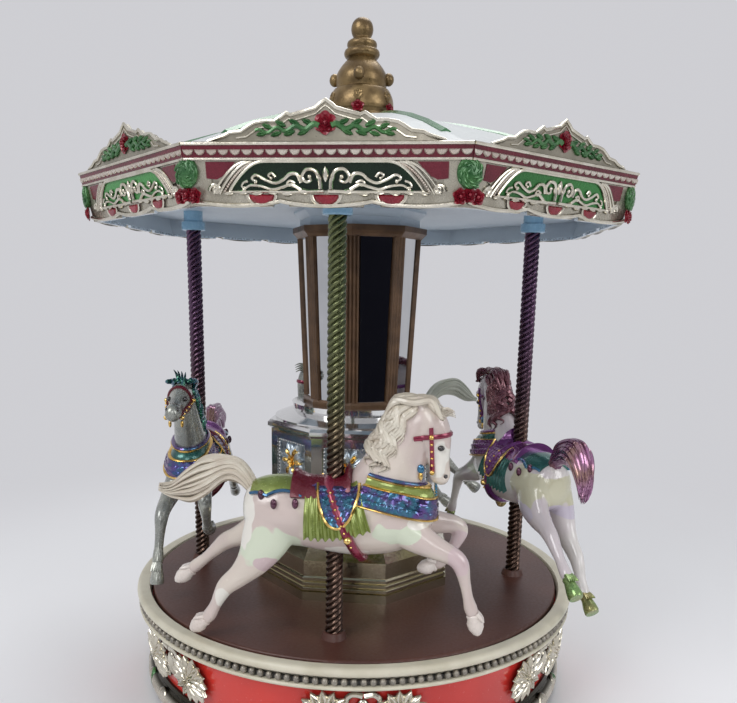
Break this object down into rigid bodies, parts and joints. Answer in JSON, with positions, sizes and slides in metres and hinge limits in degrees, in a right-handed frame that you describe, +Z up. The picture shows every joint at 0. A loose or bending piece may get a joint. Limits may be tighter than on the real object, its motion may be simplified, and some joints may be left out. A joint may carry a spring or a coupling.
{
  "type": "wind_up_music_box",
  "caption": "Wind-up carousel music box: octagonal canopy on a mirrored column, galloping horses on twisted poles, turning deck over a round red base with a key beneath",
  "frame": {"origin": "centre of the base on the table", "axes": "+Z up along the column, -Y to the front pole, +X to the right"},
  "size_m": [0.1888, 0.1888, 0.2525],
  "materials": {
    "red_lacquer": "glossy red lacquer",
    "ivory_paint": "satin ivory paint",
    "champagne_silver": "metallic champagne silver paint",
    "base_plastic": "moulded plastic",
    "steel": "bright steel",
    "foot_rubber": "soft rubber",
    "nylon": "low-friction plastic",
    "brass": "machined brass",
    "brown_paint": "satin reddish brown paint",
    "chrome_plating": "plated metal with worn tone",
    "gold_paint": "antique gold paint",
    "bronze_paint": "bronze brown paint",
    "mirror": "silvered mirror",
    "pale_paint": "pale blue grey paint",
    "blue_plastic": "sky blue plastic",
    "green_lacquer": "green lacquer over metal",
    "roof_paint": "pale grey paint",
    "twisted_metal": "plated barley twist",
    "pearl_white": "pearl white with iridescent tint",
    "pearl_grey": "silver grey pearl"
  },
  "bodies": {
    "base": {"base_cartouches": "champagne_silver", "base_shell": "red_lacquer", "bedplate": "steel", "bottom_cover": "base_plastic", "bottom_moulding": "champagne_silver", "click": "steel", "comb": "steel", "comb_block": "brass", "comb_screws": "steel", "cover_screws": "steel", "cylinder_bearings": "brass", "feet": "foot_rubber", "governor_frame": "brass", "plate_screws": "steel", "rim_ring": "ivory_paint", "slip_ring": "nylon"},
    "turntable": {"ceiling": "pale_paint", "centre_rod": "steel", "column_frame": "bronze_paint", "column_head": "pale_paint", "corner_shields": "green_lacquer", "crest_gables": "champagne_silver", "deck": "brown_paint", "drive_hub": "base_plastic", "drum": "chrome_plating", "drum_flowers": "gold_paint", "drum_top": "chrome_plating", "fascia": "green_lacquer", "finial": "gold_paint", "horse_back": "pearl_grey", "horse_front": "pearl_white", "horse_left": "pearl_grey", "horse_right": "pearl_white", "mainspring": "steel", "mirror_panels": "mirror", "plinth": "chrome_plating", "pole_back": "twisted_metal", "pole_collars": "blue_plastic", "pole_front": "twisted_metal", "pole_left": "twisted_metal", "pole_right": "twisted_metal", "rod_nut": "steel", "roof": "roof_paint", "roof_ribs": "green_lacquer", "spring_barrel": "brass"},
    "winder": {"winding_arbor": "steel", "ratchet_wheel": "steel", "winding_key": "brass"},
    "music_cylinder": {"pinned_cylinder": "brass", "crown_pinion": "brass", "cylinder_wheel": "brass"},
    "governor_arbor": {"governor_wheel": "brass"},
    "governor_fly": {"governor_worm": "steel"}
  },
  "joints": [
    {"name": "turntable_spin", "type": "hinge", "parent": "base", "child": "turntable", "pos_m": [0, 0, 0.036], "axis": [0, 0, 1], "continuous": true},
    {"name": "winding_key_turn", "type": "hinge", "parent": "base", "child": "winder", "pos_m": [0, 0, 0.01], "axis": [0, 0, 1], "continuous": true},
    {"name": "cylinder_spin", "type": "hinge", "parent": "base", "child": "music_cylinder", "pos_m": [0.0169, 0, 0.02702], "axis": [1, 0, 0], "continuous": true},
    {"name": "governor_arbor_spin", "type": "hinge", "parent": "base", "child": "governor_arbor", "pos_m": [0.0374, -0.008, 0.02702], "axis": [1, 0, 0], "continuous": true},
    {"name": "governor_fly_spin", "type": "hinge", "parent": "base", "child": "governor_fly", "pos_m": [0.0413, -0.0125, 0.02702], "axis": [0, 0, 1], "continuous": true}
  ],
  "couplings": [
    {"joint": "cylinder_spin", "follows": "turntable_spin", "ratio": 3},
    {"joint": "governor_arbor_spin", "follows": "turntable_spin", "ratio": -9},
    {"joint": "governor_fly_spin", "follows": "turntable_spin", "ratio": 54}
  ]
}
